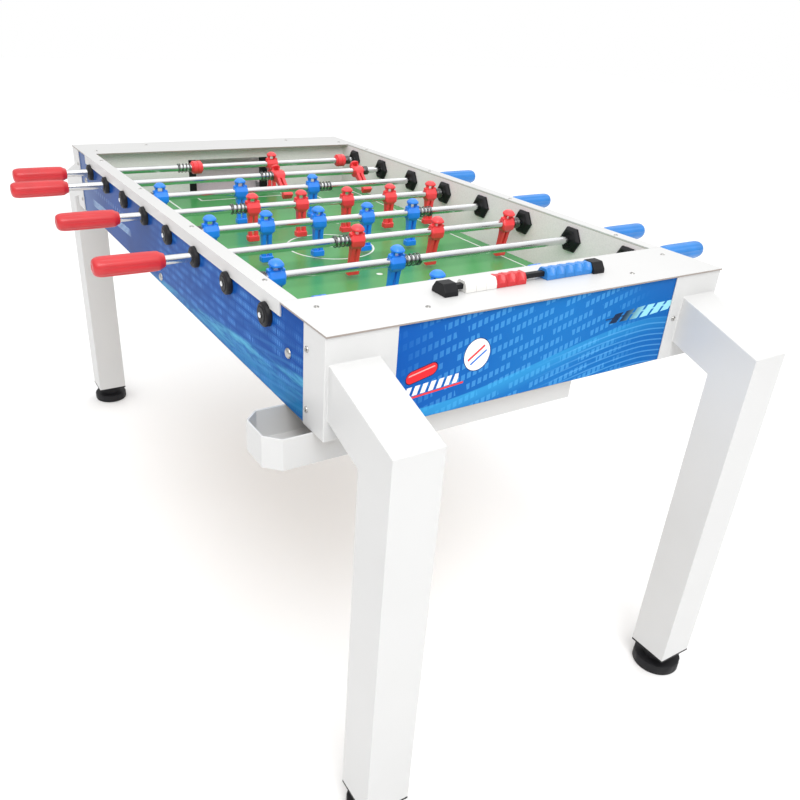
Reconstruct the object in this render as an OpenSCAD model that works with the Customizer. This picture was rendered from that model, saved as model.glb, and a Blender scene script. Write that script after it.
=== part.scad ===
// Table football table with telescopic rods: a cabinet on four cranked box-section
// legs, eight player rods, a ball return with its tray, and sliding score counters.
// Millimetres. +Z is up and the origin is on the floor under the middle of the playfield.
// X runs along the table towards the ball tray. Y runs along the rods, from the red
// team's handles (-Y) to the blue team's handles (+Y).

/* [Cabinet] */
// Width of the playfield between the side panels
play_w = 721; // [600:1:870]
// Height of the top plates above the floor
top_h = 800; // [660:1:960]
// Height of the side and end panels
panel_h = 152; // [126:1:184]
// Thickness of the side panels
side_t = 25; // [18:0.5:30]
// Thickness of the end panels
end_t = 22; // [16:0.5:28]
// Thickness of the goal walls
goal_t = 12; // [9:0.5:16]
// Thickness of the playfield board
field_t = 8; // [6:0.5:12]
// Depth of the top plate at each end
end_depth = 138; // [120:1:170]
// Thickness of the end top plates
top_t = 3; // [2:0.5:5]
// Sheet thickness of the side rails and the corner plates
sheet_t = 2.5; // [2:0.5:4]
// Height of the side rails' outer lip
lip_h = 22; // [16:1:30]
// Width of the goal openings
goal_w = 190; // [160:1:220]
// Height of the goal openings
goal_h = 84; // [70:1:90]
// Width of the black posts beside each goal
post_w = 20; // [12:1:30]

/* [Legs and feet] */
// Width of the square leg section
leg_w = 78; // [60:1:94]
// Wall of the leg section
leg_wall = 3; // [2:0.5:4]
// Distance the legs stand out past the corner plates
leg_reach = 161; // [130:1:200]
// Fall of the sloping part of the legs, in degrees
leg_fall = 18.5; // [12:0.5:25]
// Distance from the top plates down to where the legs leave the cabinet
leg_drop = 42; // [30:1:60]
// Distance the legs stand in from the outside of the corner plates
leg_inset = 6; // [2:1:12]
// Length of the corner plates along the sides
corner_side = 62; // [50:1:80]
// Length of the corner plates along the ends
corner_end = 111; // [100:1:130]
// Height of the levelling feet under the legs
foot_h = 42; // [34:1:52]
// Diameter of the levelling feet
foot_d = 92; // [76:1:110]
// Diameter of the levelling screws
stem_d = 16; // [12:0.5:20]
// Travel of the levelling feet
foot_travel = 20; // [10:1:30]

/* [Rods] */
// Distance between neighbouring rods
rod_pitch = 150; // [125:1:180]
// Height of the top plates above the rods
rod_drop = 35; // [30:1:42]
// Outside diameter of the tubes
tube_d = 16; // [13:0.5:19.5]
// Wall of the tubes
tube_wall = 2; // [1.5:0.25:2.5]
// Radial clearance of the sliding and turning fits
fit = 0.06; // [0.02:0.01:0.1]
// Free length of the rod springs
spring_l = 36; // [30:1:42]
// Pressed length of the rod springs
spring_min = 16; // [12:1:20]

/* [Players] */
// Gap between the toes of neighbouring rods
toe_gap = 4; // [3:0.5:8]
// Clearance under the players' feet
toe_clear = 7; // [5:0.5:9]
// Height of the players' heads above the rod
head_h = 31; // [26:0.5:33]
// Width of the players' bodies along the rod
man_w = 30; // [26:0.5:34]
// Spacing of the players on the rods of two
pair_gap = 235; // [200:1:260]
// Spacing of the players on the rods of three
trio_gap = 188; // [160:1:200]
// Spacing of the players on the rods of five
five_gap = 117; // [100:1:120]
// Distance from the goalkeepers to their stop blocks
stop_gap = 214; // [190:1:230]

/* [Handles and bushes] */
// Length of the handles
handle_l = 119; // [100:1:140]
// Diameter of the handles
handle_d = 34.5; // [29:0.5:41]
// Gap between a handle and its bush with the rod pushed in
handle_gap = 38; // [30:1:46]
// Outside diameter of the bush sleeves
sleeve_d = 26; // [24:0.5:30]
// Diameter of the bush flanges
flange_d = 37; // [34:0.5:44]
// Thickness of the bush flanges
flange_t = 11; // [8:0.5:14]
// Size of the inside nuts across their flats
nut_af = 48; // [40:0.5:54]
// Thickness of the inside nuts
nut_t = 11; // [8:0.5:14]

/* [Ball return] */
// Diameter of the balls the table is played with
ball_d = 34; // [32:0.5:36]
// Width of the ball tray along the table
tray_w = 96; // [80:1:110]
// Depth of the ball tray
tray_h = 50; // [42:1:60]
// Wall of the ball tray
tray_t = 3; // [2:0.5:4]
// Length the tray stands out past the red side
tray_out = 67; // [50:1:80]
// Corner chamfer of the ball tray
tray_cut = 22; // [16:1:28]

/* [Score counters] */
// Width of one counter along its bar
counter_w = 19.6; // [16:0.1:22]
// Depth of the counters across the bar
counter_d = 26; // [22:0.5:32]
// Height of the counters
counter_h = 17; // [14:0.5:20]
// Length of the bar between its end blocks
bar_l = 276; // [250:1:320]

/* [Hidden] */

$fn = 48;
slip = 0.4; // play between pieces that slide past each other loosely
snug = 0.1; // radial play of a sleeve or shank in its hole
cut = 1;    // how far a cutting shape runs past the face it cuts

// Rods, counted from the end away from the ball tray
RED = -1;
BLUE = 1;
rod_team = [RED, RED, BLUE, RED, BLUE, RED, BLUE, BLUE];
rod_men = [1, 2, 3, 5, 5, 3, 2, 1];
// Rest place of each rod as a share of its travel each way from the middle
rod_share = [0.9, 0.81, -0.92, 0.95, -0.84, 0.94, -0.93, -0.82];
// Rest turn of each rod about +Y, in degrees
rod_turn = [0, -55, -3, 0, 0, 10, 8, 0];
function rod_x(k) = (k - 4.5) * rod_pitch;

// Heights
rod_z = top_h - rod_drop;
man_reach = (rod_pitch - toe_gap) / 2;
field_z = rod_z - man_reach - toe_clear;
field_low = field_z - field_t;
panel_top = top_h - top_t;
panel_low = panel_top - panel_h;

// Places across and along the table
wall_y = play_w / 2;
face_y = wall_y + side_t;
skin_y = face_y + sheet_t;
mouth_gap = 48;
board_gap = 0.2;
goal_x = rod_x(8) + man_reach + 5;
board_in = rod_x(8) + mouth_gap;
end_x = board_in + end_depth;
plate_lap = 2.5;
plate_x = end_x - plate_lap;
panel_x = plate_x - sheet_t;
box_x = panel_x - end_t;

// Legs
knee_x = plate_x + leg_reach;
leg_y = skin_y - leg_inset - leg_w / 2;
leg_x = knee_x - leg_w / 2;
plug_t = 4;

// Rods
bore_d = tube_d + 2 * fit;
core_d = tube_d - 2 * tube_wall - 2 * fit;
nut_face = wall_y - nut_t;
closing_t = 5;
spigot_d = 6;
function half_span(n) = n == 1 ? stop_gap : n == 2 ? pair_gap / 2 : n == 3 ? trio_gap : 2 * five_gap;
function travel(n) = nut_face - half_span(n) - man_w / 2 - spring_min;
function team(k) = rod_team[k - 1];
function men(k) = rod_men[k - 1];
function slide(k) = rod_share[k - 1] * travel(men(k));
function turn(k) = rod_turn[k - 1];
function gap(n) = n == 2 ? pair_gap : n == 3 ? trio_gap : five_gap;
function man_places(n) = n == 1 ? [0] : [for (i = [0:n - 1]) (i - (n - 1) / 2) * gap(n)];
handle_in = face_y + flange_t + handle_gap;
function handle_y(n) = handle_in + travel(n);
function tube_far(n) = half_span(n) + man_w / 2 + spring_l;

// Ball return
tray_x = box_x - 6 - tray_w;
chute_end = tray_x + tray_t + 8;
tray_left = -(face_y + tray_out + 2.5);
tray_right = goal_w / 2 + 30;
chute_w = 2 * ball_d;
chute_t = 2;
chute_near = field_low - ball_d - 18;
chute_far = field_low - ball_d - 4;
bearer_w = 24;
bearer_gap = 330;

// Score counters
score_x = board_in + 60;
bar_w = 10;
bar_h = 8;
bar_z = top_h + 4.5;
block_w = 24;

// Inward unit normal of the edge from a to b, for outlines drawn anticlockwise
function edge_normal(a, b) = let (d = (b - a) / norm(b - a)) [-d[1], d[0]];
// An outline moved inwards by w, with mitred corners
function inset(pts, w) = [
  for (i = [0:len(pts) - 1])
    let (
      before = pts[(i + len(pts) - 1) % len(pts)],
      after = pts[(i + 1) % len(pts)],
      n1 = edge_normal(before, pts[i]),
      n2 = edge_normal(pts[i], after)
    ) pts[i] + w * (n1 + n2) / (1 + n1 * n2)
];

// A box from its low corner to its high corner
module block(low, high) {
  translate(low) cube(high - low);
}

// A cylinder along Y between two places
module bar_y(d, y0, y1) {
  translate([0, min(y0, y1), 0]) rotate([-90, 0, 0]) cylinder(d = d, h = abs(y1 - y0));
}

// A flat outline in X and Z, given its thickness along Y about the middle
module slab_xz(pts, w) {
  rotate([90, 0, 0]) linear_extrude(w, center = true) polygon(pts);
}

module both_ends() {
  children();
  mirror([1, 0, 0]) children();
}

module both_sides() {
  children();
  mirror([0, 1, 0]) children();
}

module at_rods() {
  for (k = [1:8]) translate([rod_x(k), 0, rod_z]) children();
}

// ---- Cabinet ----

module playfield() {
  color("forestgreen") block([-goal_x, -wall_y, field_low], [goal_x, wall_y, field_z]);
}

module field_bearers() {
  color("burlywood") both_sides()
    for (x = [-bearer_gap, 0, bearer_gap])
      block([x - bearer_w / 2, chute_w / 2 + 14, panel_low], [x + bearer_w / 2, wall_y, field_low]);
}

module side_panel() {
  difference() {
    block([-panel_x, wall_y, panel_low], [panel_x, face_y, panel_top]);
    at_rods() bar_y(sleeve_d + 2 * snug, wall_y - cut, face_y + cut);
  }
}

module side_panel_red() {
  color("royalblue") mirror([0, 1, 0]) side_panel();
}

module side_panel_blue() {
  color("royalblue") side_panel();
}

module end_panel() {
  block([box_x, -wall_y, panel_low], [panel_x, wall_y, panel_top]);
}

module end_panel_near() {
  color("royalblue") end_panel();
}

module end_panel_far() {
  color("royalblue") mirror([1, 0, 0]) end_panel();
}

// A goal wall is a board on each side of the goal, one above it and a sill under it.
// sill_gap is the width that the sill leaves open in the middle.
module goal_wall(sill_gap) {
  side = goal_w / 2 + post_w;
  near = goal_x + goal_t;
  both_sides() {
    block([goal_x, side, panel_low], [near, wall_y, panel_top]);
    if (sill_gap > 0)
      block([goal_x, sill_gap / 2, panel_low], [near, side - board_gap, field_z]);
  }
  block([goal_x, board_gap - side, field_z + goal_h], [near, side - board_gap, panel_top]);
  if (sill_gap == 0)
    block([goal_x, board_gap - side, panel_low], [near, side - board_gap, field_z]);
}

// The far goal wall lets the return chute out underneath, and so does the near one
// where the chute has to reach past it to the tray.
module goal_walls() {
  passage = chute_w + 2 * slip;
  color("lightgray") {
    goal_wall(chute_end > goal_x - slip ? passage : 0);
    mirror([1, 0, 0]) goal_wall(passage);
  }
}

module goal_posts() {
  color("dimgray") both_ends() both_sides()
    block([goal_x, goal_w / 2, field_z], [goal_x + goal_t, goal_w / 2 + post_w, field_z + goal_h]);
}

// Places of the screws along the rails and on the end plates
rail_screw_gap = 320;
rail_screw_y = (wall_y + skin_y) / 2 - 5;
plate_screws = [[goal_x + 8, wall_y - 10], [end_x - 40, 206]];
shank_d = 4;

module rail_screw_places() {
  both_sides() for (i = [-1.5:1.5]) translate([i * rail_screw_gap, rail_screw_y, top_h]) children();
}

module plate_screw_places() {
  both_ends() both_sides() for (p = plate_screws) translate([p[0], p[1], top_h]) children();
}

module side_rails() {
  color("white") difference() {
    both_sides() {
      block([-board_in + slip, wall_y, panel_top], [board_in - slip, skin_y, top_h]);
      block([-board_in + slip, face_y, top_h - lip_h], [board_in - slip, skin_y, panel_top]);
    }
    rail_screw_places() cylinder(d = shank_d + 2 * snug, h = 4 * top_t, center = true);
    // The lips are cut away round the bush flanges
    both_sides() at_rods() bar_y(flange_d + 2 * slip, face_y - cut, skin_y + cut);
  }
}

module end_tops() {
  color("white") difference() {
    both_ends() block([board_in, -skin_y, panel_top], [end_x, skin_y, top_h]);
    plate_screw_places() cylinder(d = shank_d + 2 * snug, h = 4 * top_t, center = true);
  }
}

// ---- Legs: each is a corner plate with the box-section leg welded to it ----

leg_low = foot_h + plug_t;
leg_top = top_h - leg_drop;
function slope_z(x) = leg_top - tan(leg_fall) * (x - plate_x);
deep = leg_w / cos(leg_fall);
leg_outline = [
  [plate_x, leg_top - deep],
  [knee_x - leg_w, slope_z(knee_x - leg_w) - deep],
  [knee_x - leg_w, leg_low],
  [knee_x, leg_low],
  [knee_x, slope_z(knee_x)],
  [plate_x, leg_top]
];
// The same leg run on past both of its ends, whose inset is the hollow
leg_run = [
  [plate_x - leg_w, slope_z(plate_x - leg_w) - deep],
  leg_outline[1],
  [knee_x - leg_w, leg_low - leg_w],
  [knee_x, leg_low - leg_w],
  leg_outline[4],
  [plate_x - leg_w, slope_z(plate_x - leg_w)]
];

module leg() {
  color("white") {
    difference() {
      translate([0, leg_y, 0]) slab_xz(leg_outline, leg_w);
      translate([0, leg_y, 0]) slab_xz(inset(leg_run, leg_wall), leg_w - 2 * leg_wall);
    }
    difference() {
      block([plate_x - corner_side, skin_y - corner_end, panel_low], [plate_x, skin_y, panel_top]);
      block([0, 0, panel_low - cut], [panel_x, face_y, panel_top + cut]);
    }
  }
}

// Puts a piece drawn at the +X +Y corner at one of the four corners
module at_corner(i) {
  mirror([i > 2 ? 1 : 0, 0, 0]) mirror([0, i % 2, 0]) children();
}

module leg_plugs() {
  plug_in = 18;
  hollow = leg_w - 2 * leg_wall - 2 * slip;
  color("dimgray") for (i = [1:4]) at_corner(i) difference() {
    union() {
      block([knee_x - leg_w, leg_y - leg_w / 2, foot_h], [knee_x, leg_y + leg_w / 2, leg_low]);
      translate([leg_x, leg_y, leg_low + plug_in / 2]) cube([hollow, hollow, plug_in], center = true);
    }
    translate([leg_x, leg_y, foot_h - cut]) cylinder(d = stem_d + 2 * fit, h = plug_in + plug_t + 2 * cut);
  }
}

// A levelling foot: base, neck and screw
module foot() {
  base_h = 22;
  neck_d = foot_d - 34;
  color("dimgray") translate([leg_x, leg_y, 0]) {
    cylinder(d1 = foot_d - 4, d2 = foot_d, h = 3);
    translate([0, 0, 3]) cylinder(d = foot_d, h = base_h - 3);
    translate([0, 0, base_h]) cylinder(d = neck_d, h = foot_h - slip - base_h);
    cylinder(d = stem_d, h = foot_h + plug_t + 26 + foot_travel);
  }
}

// ---- Bushes and nuts ----

// The tube runs right through the bush on its handle side. On the other side the bush
// is closed around the inner rod, and the tube's end moves in its hollow.
module guide_bushes() {
  color("dimgray") for (k = [1:8]) translate([rod_x(k), 0, rod_z]) both_bushes(team(k));
}

module both_bushes(side) {
  difference() {
    both_sides() {
      bar_y(sleeve_d, nut_face + 1, face_y);
      bar_y(flange_d, face_y, face_y + flange_t);
    }
    bar_y(bore_d, side * (nut_face - cut), side * (face_y + flange_t + cut));
    bar_y(bore_d, -side * (nut_face - cut), -side * (face_y + flange_t - closing_t));
    bar_y(spigot_d + 2 * fit, 0, -side * (face_y + flange_t + cut));
  }
}

module hex_nuts() {
  color("dimgray") at_rods() both_sides() difference() {
    translate([0, nut_face, 0]) rotate([-90, 0, 0]) cylinder(d = nut_af / cos(30), h = nut_t, $fn = 6);
    bar_y(sleeve_d + 2 * snug, nut_face - cut, wall_y + cut);
  }
}

// ---- Rods ----

// A collar inside the closed bush and a small cap outside it hold the inner rod,
// which is turned down to a spigot where it goes through.
module inner_rod(k) {
  out = -team(k) * (face_y + flange_t);
  collar = out + team(k) * (closing_t + slip);
  cap = out - team(k) * slip;
  color("silver") translate([rod_x(k), 0, rod_z]) {
    bar_y(core_d, team(k) * (wall_y - 60), collar);
    bar_y(bore_d - 1, collar, collar + team(k) * 2);
    bar_y(spigot_d, collar, cap - team(k) * 2);
    bar_y(spigot_d + 3, cap, cap - team(k) * 2);
  }
}

module tube(k) {
  n = men(k);
  color("silver") translate([rod_x(k), slide(k), rod_z]) difference() {
    bar_y(tube_d, team(k) * (handle_y(n) + handle_l - 14), -team(k) * tube_far(n));
    bar_y(core_d + 2 * fit, team(k) * (handle_y(n) + handle_l), -team(k) * (tube_far(n) + cut));
  }
}

// The grip, drawn from its inner end at the origin outwards along +Y
module grip() {
  r = handle_d / 2;
  round_r = 7;
  difference() {
    rotate([-90, 0, 0]) rotate_extrude() polygon(concat(
      [[0, 0], [r - 5, 0], [r - 2.5, 1.5], [r - 1, 5], [r, 30], [r, handle_l - round_r]],
      [for (a = [15:15:90]) [r - round_r + round_r * cos(a), handle_l - round_r + round_r * sin(a)]],
      [[0, handle_l]]
    ));
    bar_y(bore_d, -cut, handle_l - 14);
  }
}

module handle(k) {
  paint = team(k) == RED ? "red" : "dodgerblue";
  color(paint) translate([rod_x(k), slide(k) + team(k) * handle_y(men(k)), rod_z])
    mirror([0, team(k) == RED ? 1 : 0, 0]) grip();
}

// A player: its front outline met with its side outline, on the tube at the origin
module player() {
  w = man_w / 2;
  toe = -man_reach;
  front = [
    [-13, toe], [13, toe], [13, toe + 12], [11, toe + 16], [9.5, -16], [w, -10], [w, 8],
    [w - 4, 14], [8, 16], [8, 18], [10, 20], [10, 24], [6, head_h], [-6, head_h],
    [-10, 24], [-10, 20], [-8, 18], [-8, 16], [-w + 4, 14], [-w, 8], [-w, -10],
    [-9.5, -16], [-11, toe + 16], [-13, toe + 12]
  ];
  side = [
    [-8, toe], [8, toe], [8, toe + 12], [6, toe + 16], [7, -16], [12.5, -9], [12.5, 9],
    [8, 14], [7, 16], [7, 18], [13, 20], [9, 26], [5, head_h], [-5, head_h], [-9, 26],
    [-9, 20], [-7, 18], [-7, 16], [-8, 14], [-12.5, 9], [-12.5, -9], [-7, -16],
    [-6, toe + 16], [-8, toe + 12]
  ];
  difference() {
    intersection() {
      rotate([90, 0, 90]) linear_extrude(40, center = true) polygon(front);
      slab_xz(side, 60);
    }
    bar_y(bore_d, -w - cut, w + cut);
  }
}

// The block that stops a goalkeeper's rod
module stop_block() {
  difference() {
    bar_y(tube_d + 17, -man_w / 2, man_w / 2);
    bar_y(bore_d, -man_w / 2 - cut, man_w / 2 + cut);
  }
}

module men_on(k) {
  n = men(k);
  paint = team(k) == RED ? "red" : "dodgerblue";
  color(paint) translate([rod_x(k), slide(k), rod_z]) rotate([0, turn(k), 0]) {
    for (y = man_places(n)) translate([0, y, 0]) player();
    if (n == 1)
      for (s = [-1, 1]) translate([0, s * stop_gap, 0]) stop_block();
  }
}

// ---- Ball return ----

function tray_ring(w) = [
  [tray_x + tray_cut, tray_left], [tray_x + tray_w - tray_cut, tray_left],
  [tray_x + tray_w, tray_left + tray_cut], [tray_x + tray_w, tray_right - tray_cut],
  [tray_x + tray_w - tray_cut, tray_right], [tray_x + tray_cut, tray_right],
  [tray_x, tray_right - tray_cut], [tray_x, tray_left + tray_cut]
];

module ball_tray() {
  low = panel_low - tray_h;
  lug_w = 24;
  color("white") {
    difference() {
      translate([0, 0, low]) linear_extrude(tray_h) polygon(tray_ring(0));
      translate([0, 0, low + tray_t]) linear_extrude(tray_h) polygon(inset(tray_ring(0), tray_t));
      block(
        [tray_x - cut, -chute_w / 2 - slip, chute_near - slip],
        [tray_x + tray_t + cut, chute_w / 2 + slip, panel_low + cut]
      );
    }
    for (y = [-wall_y + 40, goal_w / 2 - 30])
      block([tray_x + tray_w, y, panel_low - chute_t], [panel_x - 4, y + lug_w, panel_low]);
  }
}

module return_chute() {
  far = goal_x;
  near = chute_end;
  out_w = chute_w / 2;
  in_w = out_w - chute_t;
  wing = goal_w / 2 + post_w;
  rise = 24;
  floor_far = chute_far;
  color("lightgray") {
    difference() {
      slab_xz([[-far, floor_far - chute_t], [near, chute_near], [near, field_low], [-far, field_low]], chute_w);
      slab_xz(
        [[-far - cut, floor_far], [-far, floor_far], [near, chute_near + chute_t],
         [near + cut, chute_near + chute_t], [near + cut, field_low + cut], [-far - cut, field_low + cut]],
        2 * in_w
      );
    }
    both_sides()
      block([-bearer_gap - 100, out_w, field_low - chute_t], [bearer_gap + 100, out_w + 12, field_low]);
    // The catcher behind the far goal, which falls to the middle and lets balls out under the wall
    translate([-box_x, 0, 0]) rotate([90, 0, 90]) linear_extrude(box_x - goal_x - goal_t) polygon([
      [-wing, floor_far + rise + 24], [-wing, floor_far + rise], [-in_w, floor_far - chute_t],
      [in_w, floor_far - chute_t], [wing, floor_far + rise], [wing, floor_far + rise + 24],
      [wing - chute_t, floor_far + rise + 24], [wing - chute_t, floor_far + rise + chute_t],
      [in_w - 1, floor_far], [-in_w + 1, floor_far],
      [-wing + chute_t, floor_far + rise + chute_t], [-wing + chute_t, floor_far + rise + 24]
    ]);
    block([-goal_x - goal_t, 1 - in_w, floor_far - chute_t], [-goal_x, in_w - 1, floor_far]);
  }
}

// ---- Score counters ----

module scorer_frame() {
  half = bar_l / 2;
  color("dimgray") translate([score_x, 0, 0]) {
    block([-bar_w / 2, -half, bar_z], [bar_w / 2, half, bar_z + bar_h]);
    both_sides() translate([0, half + block_w / 2, top_h]) rotate([90, 0, 0])
      linear_extrude(block_w, center = true)
        polygon([[-18, 0], [18, 0], [17, 7], [9, 18], [-9, 18], [-17, 7]]);
  }
}

// One counter, from y = 0 along +Y: a saddle that rides on the bar
module counter() {
  d = counter_d / 2;
  h = counter_h;
  inner_w = bar_w / 2 + slip;
  translate([score_x, 0, 0]) difference() {
    translate([0, counter_w, top_h + slip]) rotate([90, 0, 0]) linear_extrude(counter_w - slip)
      polygon([[-d, 0], [d, 0], [d, h * 0.45], [d - 4, h - 2], [d - 7, h], [7 - d, h], [4 - d, h - 2], [-d, h * 0.45]]);
    block([-inner_w, -cut, bar_z - slip], [inner_w, counter_w + cut, bar_z + bar_h + slip]);
  }
}

module counters(from, count) {
  for (i = [0:count - 1]) translate([0, from + i * counter_w, 0]) counter();
}

white_from = -bar_l / 2 + 17;
blue_from = bar_l / 2 - 5 * counter_w - slip;

module counters_white() {
  color("white") counters(white_from, 3);
}

module counters_red() {
  color("red") counters(white_from + 3 * counter_w, 3);
}

module counters_blue() {
  color("dodgerblue") counters(blue_from, 5);
}

// ---- Screws ----

module screw(head_d) {
  cylinder(d1 = head_d, d2 = head_d * 0.6, h = 2);
  translate([0, 0, -top_t]) cylinder(d = shank_d, h = top_t);
}

// Bolts through the corner plates, and the dome head and bracket on the side panels
module screws() {
  bolt_d = 9;
  color("gray") {
    rail_screw_places() screw(8);
    plate_screw_places() screw(8);
    both_ends() both_sides() {
      for (z = [panel_low + 27, panel_top - 35])
        translate([plate_x - corner_side + 11, skin_y, z]) rotate([-90, 0, 0]) cylinder(d1 = bolt_d, d2 = 6, h = 3);
      translate([plate_x, skin_y - corner_end + 14, (panel_low + panel_top) / 2])
        rotate([0, 90, 0]) cylinder(d1 = bolt_d, d2 = 6, h = 3);
      translate([plate_x - corner_side - 51, face_y, panel_top - 66])
        rotate([-90, 0, 0]) cylinder(d1 = 16, d2 = 8, h = 4);
    }
    both_sides() translate([0, face_y, panel_low + 15])
      rotate([-90, 0, 0]) cylinder(d1 = 14, d2 = 8, h = 4);
  }
}

playfield();
field_bearers();
side_panel_red();
side_panel_blue();
end_panel_near();
end_panel_far();
goal_walls();
goal_posts();
side_rails();
end_tops();
at_corner(1) leg();  // leg_1
at_corner(2) leg();  // leg_2
at_corner(3) leg();  // leg_3
at_corner(4) leg();  // leg_4
leg_plugs();
at_corner(1) foot();  // foot_1
at_corner(2) foot();  // foot_2
at_corner(3) foot();  // foot_3
at_corner(4) foot();  // foot_4
guide_bushes();
hex_nuts();
ball_tray();
return_chute();
scorer_frame();
counters_white();
counters_red();
counters_blue();
screws();
inner_rod(1);  // inner_rod_1
inner_rod(2);  // inner_rod_2
inner_rod(3);  // inner_rod_3
inner_rod(4);  // inner_rod_4
inner_rod(5);  // inner_rod_5
inner_rod(6);  // inner_rod_6
inner_rod(7);  // inner_rod_7
inner_rod(8);  // inner_rod_8
tube(1);  // tube_1
tube(2);  // tube_2
tube(3);  // tube_3
tube(4);  // tube_4
tube(5);  // tube_5
tube(6);  // tube_6
tube(7);  // tube_7
tube(8);  // tube_8
men_on(1);  // men_1
men_on(2);  // men_2
men_on(3);  // men_3
men_on(4);  // men_4
men_on(5);  // men_5
men_on(6);  // men_6
men_on(7);  // men_7
men_on(8);  // men_8
handle(1);  // handle_1
handle(2);  // handle_2
handle(3);  // handle_3
handle(4);  // handle_4
handle(5);  // handle_5
handle(6);  // handle_6
handle(7);  // handle_7
handle(8);  // handle_8
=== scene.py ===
import math

import bmesh
import bpy
from mathutils import Euler, Matrix, Vector


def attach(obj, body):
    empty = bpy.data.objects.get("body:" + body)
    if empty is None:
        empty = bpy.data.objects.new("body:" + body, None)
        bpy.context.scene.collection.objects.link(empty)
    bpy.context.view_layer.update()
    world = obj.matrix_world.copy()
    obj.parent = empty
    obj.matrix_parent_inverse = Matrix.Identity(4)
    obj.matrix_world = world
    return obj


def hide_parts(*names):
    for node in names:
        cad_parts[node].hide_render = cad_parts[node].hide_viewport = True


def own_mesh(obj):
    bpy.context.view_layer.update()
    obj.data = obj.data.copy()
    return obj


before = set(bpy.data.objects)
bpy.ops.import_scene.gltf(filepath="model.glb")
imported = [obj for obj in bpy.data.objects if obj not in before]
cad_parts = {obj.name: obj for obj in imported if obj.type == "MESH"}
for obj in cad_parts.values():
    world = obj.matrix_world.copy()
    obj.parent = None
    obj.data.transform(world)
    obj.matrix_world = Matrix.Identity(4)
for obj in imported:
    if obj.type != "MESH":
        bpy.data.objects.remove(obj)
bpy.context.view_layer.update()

# Metres, unless a note says millimetres, in the frame's own axes: X along the table, Y along the rods
table = {
    "rodPitch": 0.150,
    "rodHeight": 0.765,
    "top": 0.800,
    "wallY": 0.3605,
    "faceY": 0.3855,
    "skinY": 0.388,
    "nutFace": 0.3495,
    "fieldHeight": 0.685,
    "panelLow": 0.645,
    "panelTop": 0.797,
    "plateX": 0.7085,
    "skin": 0.0004,  # how deep a face's print reaches into the board
}
# by the number of men on the rod: the outermost man's or stop block's place, and the men's pitch
halfSpan = {1: 0.214, 2: 0.1175, 3: 0.188, 5: 0.234}
spacing = {1: 0.0, 2: 0.235, 3: 0.188, 5: 0.117}
onTube = {"hub": 0.015, "springSeat": 0.016, "springRoom": 0.036, "pressedRoom": 0.016}


def makeRod(number, team, men, share, turn):
    travel = table["nutFace"] - halfSpan[men] - onTube["hub"] - onTube["pressedRoom"]
    return {
        "number": number,
        "team": team,
        "side": -1 if team == "red" else 1,
        "men": men,
        "x": (number - 4.5) * table["rodPitch"],  # the eight rods stand evenly about the middle
        "travel": travel,
        "slide": share * travel,
        "turn": math.radians(turn),
        "body": f"rod_{number}",
    }


rods = [
    makeRod(1, "red", 1, 0.9, 0),
    makeRod(2, "red", 2, 0.81, -55),
    makeRod(3, "blue", 3, -0.92, -3),
    makeRod(4, "red", 5, 0.95, 0),
    makeRod(5, "blue", 5, -0.84, 0),
    makeRod(6, "red", 3, 0.94, 10),
    makeRod(7, "blue", 2, -0.93, 8),
    makeRod(8, "blue", 1, -0.82, 0),
]
alongRod = Matrix.Rotation(math.radians(-90), 4, "X")  # turns what is drawn along +Z to lie along +Y


def onRod(rod, y):
    return (rod["x"], y, table["rodHeight"])


def facing(side):
    # the turn that points a piece drawn along +Z out along Y on that side
    return (-side * math.pi / 2, 0, 0)


# shader maths


class Wire:
    # one output socket of a material's tree, with the usual arithmetic
    def __init__(self, finish, socket):
        self.finish = finish
        self.socket = socket

    def calc(self, operation, *others):
        values = {0: self}
        for place, other in enumerate(others, 1):
            values[place] = other
        return self.finish.add("ShaderNodeMath", {"operation": operation}, values)

    def __add__(self, other):
        return self.calc("ADD", other)

    __radd__ = __add__

    def __sub__(self, other):
        return self.calc("SUBTRACT", other)

    def __rsub__(self, other):
        return self.finish.add("ShaderNodeMath", {"operation": "SUBTRACT"}, {0: other, 1: self})

    def __mul__(self, other):
        return self.calc("MULTIPLY", other)

    __rmul__ = __mul__

    def __truediv__(self, other):
        return self.calc("DIVIDE", other)

    def __pow__(self, other):
        return self.calc("POWER", other)

    def __lt__(self, other):
        return self.calc("LESS_THAN", other)

    def __gt__(self, other):
        return self.calc("GREATER_THAN", other)

    def __abs__(self):
        return self.calc("ABSOLUTE")

    def fract(self):
        return self.calc("FRACT")

    def floor(self):
        return self.calc("FLOOR")

    def sin(self):
        return self.calc("SINE")

    def sqrt(self):
        return self.calc("SQRT")

    def sign(self):
        return self.calc("SIGN")

    def larger(self, other):
        return self.calc("MAXIMUM", other)

    def clamp(self):
        return self.calc("MAXIMUM", 0.0).calc("MINIMUM", 1.0)

    def ramp(self, low, high):  # 0 below low, 1 above high, smooth between
        settings = {"interpolation_type": "SMOOTHSTEP"}
        values = {"Value": self, "From Min": low, "From Max": high}
        return self.finish.add("ShaderNodeMapRange", settings, values)


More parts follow.
